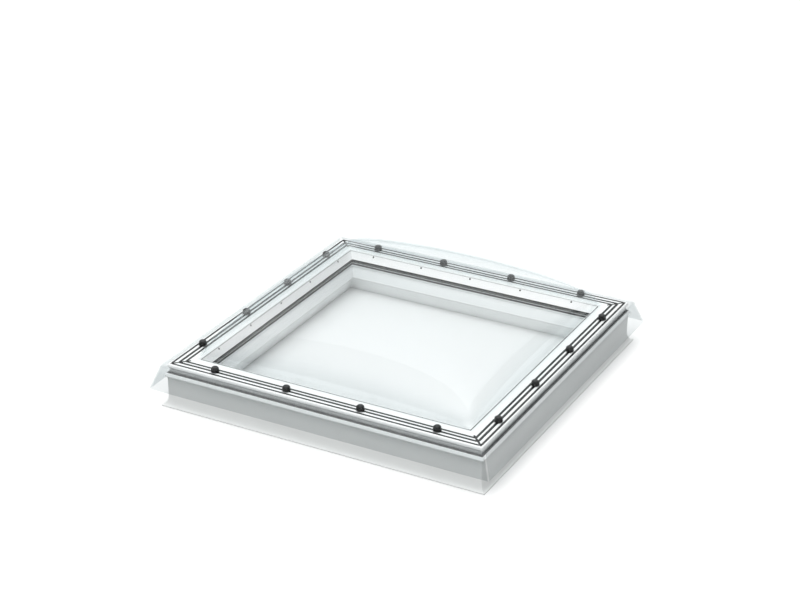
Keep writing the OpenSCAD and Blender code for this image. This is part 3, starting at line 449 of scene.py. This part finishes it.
def pillow(u, w):
    """Height of the bulge over a square, from 1 in the middle to 0 at its foot."""
    a, b = 1 - u * u, 1 - w * w
    soft = -np.log(np.exp(-CREASE * a) + np.exp(-CREASE * b)) / CREASE
    peak = 1 - math.log(2) / CREASE
    both = ROUND_SHARE * a * b + (1 - ROUND_SHARE) * np.maximum(soft, 0) / peak
    return np.maximum(both, 0) ** FULLNESS


def square_ring(h, t):
    """Points round a square of half-width h, with t running along each side from -1 to below 1."""
    one = np.ones_like(t)
    x = np.concatenate([one, -t, -one, t]) * h
    y = np.concatenate([t, one, -t, -one]) * h
    return x, y


def dome_face(foot, base, bend, tip):
    """Rings of points of one face of the sheet, from the middle out to the skirt's tip."""
    t = np.linspace(-1, 1, PER_SIDE, endpoint=False)
    out = []
    for j in range(1, RINGS + 1):
        x, y = square_ring(math.sin(math.pi / 2 * j / RINGS), t)
        z = base + BULGE * pillow(x, y) if j < RINGS else np.full_like(x, base)
        out.append(np.stack([x * foot, y * foot, z], 1))
    # the flange is cut into strips, so that its bolt holes stay small patches
    profile = [(r, base) for r in np.linspace(foot, FLANGE_END, FLANGE_STRIPS + 1)[1:]]
    for k in range(1, BEND_STEPS + 1):
        a = math.pi / 2 * k / BEND_STEPS
        profile.append((FLANGE_END + bend * math.sin(a), base - bend * (1 - math.cos(a))))
    r0, z0 = profile[-1]
    profile += [(r0 + (tip - r0) * f, z0 + (SKIRT_LOW - z0) * f) for f in SKIRT_CUTS]
    for r, z in profile:
        x, y = square_ring(r, t)
        out.append(np.stack([x, y, np.full_like(x, z)], 1))
    return np.stack(out)


def build_dome():
    """The sheet from its two faces, joined at the skirt's tip."""
    outer, inner = dome_face(*OUTER_FACE), dome_face(*INNER_FACE)
    m, n = outer.shape[:2]
    peaks = [[0, 0, base + BULGE] for _, base, _, _ in (OUTER_FACE, INNER_FACE)]
    points = np.concatenate([outer.reshape(-1, 3), inner.reshape(-1, 3), peaks]) / 1000
    top, low = 2 * m * n, 2 * m * n + 1
    faces = []
    for i in range(n):
        k = (i + 1) % n
        faces.append((top, i, k))
        faces.append((low, m * n + k, m * n + i))
        for j in range(m - 1):
            p, q = j * n, (j + 1) * n
            faces.append((p + i, q + i, q + k, p + k))
            p, q = p + m * n, q + m * n
            faces.append((p + i, p + k, q + k, q + i))
        p, q = (m - 1) * n, (2 * m - 1) * n
        faces.append((p + i, q + i, q + k, p + k))
    mesh = bpy.data.meshes.new("dome_sheet")
    mesh.from_pydata(points.tolist(), [], faces)
    mesh.update()
    bm = bmesh.new()
    bm.from_mesh(mesh)
    bmesh.ops.recalc_face_normals(bm, faces=bm.faces)
    for f in bm.faces:
        f.smooth = True
    for e in bm.edges:
        if len(e.link_faces) == 2 and e.calc_face_angle() > SHARP:
            e.smooth = False
    bm.to_mesh(mesh)
    bm.free()
    mesh.materials.append(looks["dome"])
    return add_object("dome_sheet", mesh)


def drill(obj, places, radius, low, high):
    """Cuts round holes through obj, all with one cutter."""
    bm = bmesh.new()
    for x, y in places:
        bmesh.ops.create_cone(bm, cap_ends=True, segments=32, radius1=radius, radius2=radius,
                              depth=high - low,
                              matrix=Matrix.Translation((x, y, (low + high) / 2)))
    mesh = bpy.data.meshes.new("cutter")
    bm.to_mesh(mesh)
    bm.free()
    cutter = add_object("cutter", mesh)
    cut = obj.modifiers.new("holes", "BOOLEAN")
    cut.operation = "DIFFERENCE"
    cut.solver = "EXACT"
    cut.object = cutter
    bpy.context.view_layer.update()
    graph = bpy.context.evaluated_depsgraph_get()
    done = bpy.data.meshes.new_from_object(obj.evaluated_get(graph))
    obj.modifiers.clear()
    obj.data = done
    bpy.data.objects.remove(cutter)


# Lips on the seals and caps on the bead screws

LIP_LOW, LIP_HIGH = 0.1521, 0.15262  # heights of a lip, just under the dome's flange
MITRE_FROM, MITRE_TO = 0.5245, 0.5735  # ends of a corner gasket's lip, on each axis
CORNER_GAP = 0.003  # how far a cord's lip stops short of the cord's end at a corner
CORNER_REACH = 0.005  # an end this near the diagonal is at a corner
CAP_HEIGHT, CAP_TAPER = 0.0005, 0.92


def islands(bm):
    """The vertices of each separate piece of a welded mesh."""
    left = set(bm.verts)
    while left:
        piece, todo = [], [left.pop()]
        while todo:
            v = todo.pop()
            piece.append(v)
            for e in v.link_edges:
                o = e.other_vert(v)
                if o in left:
                    left.remove(o)
                    todo.append(o)
        yield piece


def welded(mesh):
    """A mesh whose faces share their corners, as the loaded ones don't."""
    bm = bmesh.new()
    bm.from_mesh(mesh)
    bmesh.ops.remove_doubles(bm, verts=bm.verts[:], dist=1e-6)
    bm.normal_update()
    return bm


def middle_of(verts):
    return sum((v.co for v in verts), Vector()) / len(verts)


def boxes(mesh):
    """The corners (x0, y0, x1, y1) of each separate piece of a mesh, seen from above."""
    bm = welded(mesh)
    found = [[f(v.co[k] for v in piece) for f in (min, max) for k in (0, 1)]
             for piece in islands(bm)]
    bm.free()
    return sorted(found)


def heads(mesh):
    """The middle of each bead screw's head, and the direction in which it looks."""
    bm = welded(mesh)
    places = []
    for piece in islands(bm):
        faces = {f for v in piece for f in v.link_faces}
        middle = middle_of(piece)
        inward = Vector((-middle.x, -middle.y, 0))
        # the head is the largest flat that looks up and inward
        areas = {}
        for f in faces:
            if f.normal.z > 0.01 and f.normal.dot(inward) > 0.01:
                key = tuple(round(c, 2) for c in f.normal)
                areas[key] = areas.get(key, 0) + f.calc_area()
        out = Vector(max(areas, key=areas.get)).normalized()
        flat = {v for f in faces if f.normal.dot(out) > 0.999 for v in f.verts}
        places.append((tuple(middle_of(flat)), tuple(out)))
    bm.free()
    return sorted(places)


def add_lip(bm, start, end, across, half):
    """Adds a flat lip between two places on the sash's top."""
    side = across * half
    loop = [start - side, end - side, end + side, start + side]
    bottom = [bm.verts.new(p + Vector((0, 0, LIP_LOW))) for p in loop]
    top = [bm.verts.new(p + Vector((0, 0, LIP_HIGH))) for p in loop]
    made = [bm.faces.new(top), bm.faces.new(bottom[::-1])]
    for k in range(4):
        n = (k + 1) % 4
        made.append(bm.faces.new((bottom[k], bottom[n], top[n], top[k])))
    bmesh.ops.recalc_face_normals(bm, faces=made)


def mitre_line(x0, y0, x1, y1):
    """Start, end and cross direction of a corner gasket's lip."""
    sx, sy = math.copysign(1, x0 + x1), math.copysign(1, y0 + y1)
    along = Vector((sx, sy, 0))
    return along * MITRE_FROM, along * MITRE_TO, Vector((-sy, sx, 0)).normalized()


def cord_line(x0, y0, x1, y1):
    """Start, end and cross direction of the lip on a cord along one side."""
    if x1 - x0 > y1 - y0:
        along, across = Vector((1, 0, 0)), Vector((0, 1, 0))
        ends, mid = [x0, x1], (y0 + y1) / 2
    else:
        along, across = Vector((0, 1, 0)), Vector((1, 0, 0))
        ends, mid = [y0, y1], (x0 + x1) / 2
    # an end at a corner stops under the corner gasket's lip
    start, end = [math.copysign(abs(e) - CORNER_GAP, e) if abs(e) > abs(mid) - CORNER_REACH else e
                  for e in ends]
    return along * start + across * mid, along * end + across * mid, across


def dressed(node, ending, add):
    """An object with a copy of a node's own mesh and what add(bm, mesh) puts on it."""
    mesh = nodes[node].data.copy()
    mesh.name = node + ending
    bm = bmesh.new()
    bm.from_mesh(mesh)
    add(bm, mesh)
    bm.to_mesh(mesh)
    bm.free()
    return add_object(node + ending, mesh)


def with_lips(node, half, line):
    """A seal with lips on top, which it presses against the dome and the rails."""
    def add(bm, mesh):
        for box in boxes(mesh):
            add_lip(bm, *line(*box), half)
    return dressed(node, "_lips", add)


def with_caps(node, radius):
    """The bead screws with a low round cap on each head."""
    def add(bm, mesh):
        for centre, out in heads(mesh):
            turn = Vector(out).to_track_quat("Z", "Y").to_matrix().to_4x4()
            bmesh.ops.create_cone(bm, cap_ends=True, segments=16, radius1=radius,
                                  radius2=CAP_TAPER * radius, depth=CAP_HEIGHT,
                                  matrix=Matrix.Translation(centre) @ turn)
    return dressed(node, "_caps", add)


mitres = with_lips("mitre_gaskets", half=0.0036, line=mitre_line)
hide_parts("mitre_gaskets")
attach(mitres, "sash")
inner_cord = with_lips("dome_seal_inner", half=0.0043, line=cord_line)
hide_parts("dome_seal_inner")
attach(inner_cord, "sash")
outer_cord = with_lips("dome_seal_outer", half=0.0047, line=cord_line)
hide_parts("dome_seal_outer")
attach(outer_cord, "sash")
edge_cord = with_lips("edge_cord_seal", half=0.004, line=cord_line)
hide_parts("edge_cord_seal")
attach(edge_cord, "sash")
screws = with_caps("bead_screws", radius=0.0036)
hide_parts("bead_screws")
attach(screws, "sash")

KNOB_OUT = 0.553  # distance of the knobs' bolts from the middle
KNOB_PLACES = (-0.411, -0.137, 0.137, 0.411)  # along each side

dome = build_dome()
holes = []
for k in KNOB_PLACES:
    holes += [(KNOB_OUT, k), (-KNOB_OUT, k), (k, KNOB_OUT), (k, -KNOB_OUT)]
drill(dome, holes, radius=0.004, low=0.150, high=0.160)
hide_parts("dome")
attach(dome, "sash")


# Floor, light and camera

FLOOR_SIZE, FLOOR_Z = 30.0, -0.0005
OPENING = (0.52, 0.56)  # outward distances between which the floor's tone changes
EYE, TARGET = Vector((2.8367, -5.2778, 3.1637)), Vector((-0.1340, 0.2115, 0.1540))


def make_floor():
    bm = bmesh.new()
    bmesh.ops.create_grid(bm, x_segments=1, y_segments=1, size=FLOOR_SIZE)
    mesh = bpy.data.meshes.new("floor")
    bm.to_mesh(mesh)
    bm.free()
    obj = add_object("floor", mesh)
    obj.location = (0, 0, FLOOR_Z)
    t = material_tree("floor")
    x, y, _ = t.xyz()
    cloud = t.noise(scale=0.7, detail=3.0)
    tone = t.mix(t.span(cloud, 0.0, 1.0), grey(0.74), grey(0.76))
    # painted shade: a little darker in the opening, where the floor is seen through the glass
    tone = t.mix(t.span(t.outward(x, y), 1.0, 0.0, *OPENING), tone, grey(0.675))
    mesh.materials.append(t.surface(Base_Color=tone, Roughness=0.7, Specular_IOR_Level=0.2))


def make_world():
    t = Tree(bpy.data.worlds.new("studio"), "OutputWorld")
    place = t.node("TexCoord").outputs["Generated"]

    def glow(direction, start, end, high):
        """Light that rises from 0 to high while the cosine to a direction goes from start to end."""
        cosine = t.dot(place, Vector(direction).normalized())
        return t.span(cosine, 0.0, high, start, end, "SMOOTHSTEP")

    # overhead light, and a lit back-left quarter whose edges show as arcs in the dome
    overhead = glow((-0.1, -0.15, 1), 0.25, 1.0, 1.0)
    quarter = t.times(glow((0, 1, 0), 0.11, 0.15, 1.0), glow((-1, 0, 0), -0.46, -0.42, 0.65))
    light = t.node("Background")
    t.put(light.inputs["Color"], colour(0.985, 0.995, 1.0))
    t.put(light.inputs["Strength"], t.math("ADD", t.math("ADD", 0.05, overhead), quarter))
    t.put(t.out.inputs["Surface"], light.outputs[0])
    scene.world = t.owner


def make_sun():
    lamp = bpy.data.lights.new("overhead", "SUN")
    lamp.energy = 2.75
    lamp.angle = math.radians(60)
    lamp.color = (1.0, 0.995, 0.985)
    obj = add_object("overhead", lamp)
    obj.visible_glossy = False
    obj.rotation_euler = (math.radians(16), math.radians(-3), 0)


def make_camera():
    cam = bpy.data.cameras.new("camera")
    cam.sensor_width = 36.0
    cam.lens = 88.26
    cam.clip_end = 100.0
    obj = add_object("camera", cam)
    obj.location = EYE
    obj.rotation_euler = (TARGET - EYE).to_track_quat("-Z", "Y").to_euler()
    scene.camera = obj


make_floor()
make_world()
make_sun()
make_camera()
scene.view_settings.view_transform = "Standard"
# the sheets are solids, so a line of sight crosses many clear faces
scene.cycles.transparent_max_bounces = 32
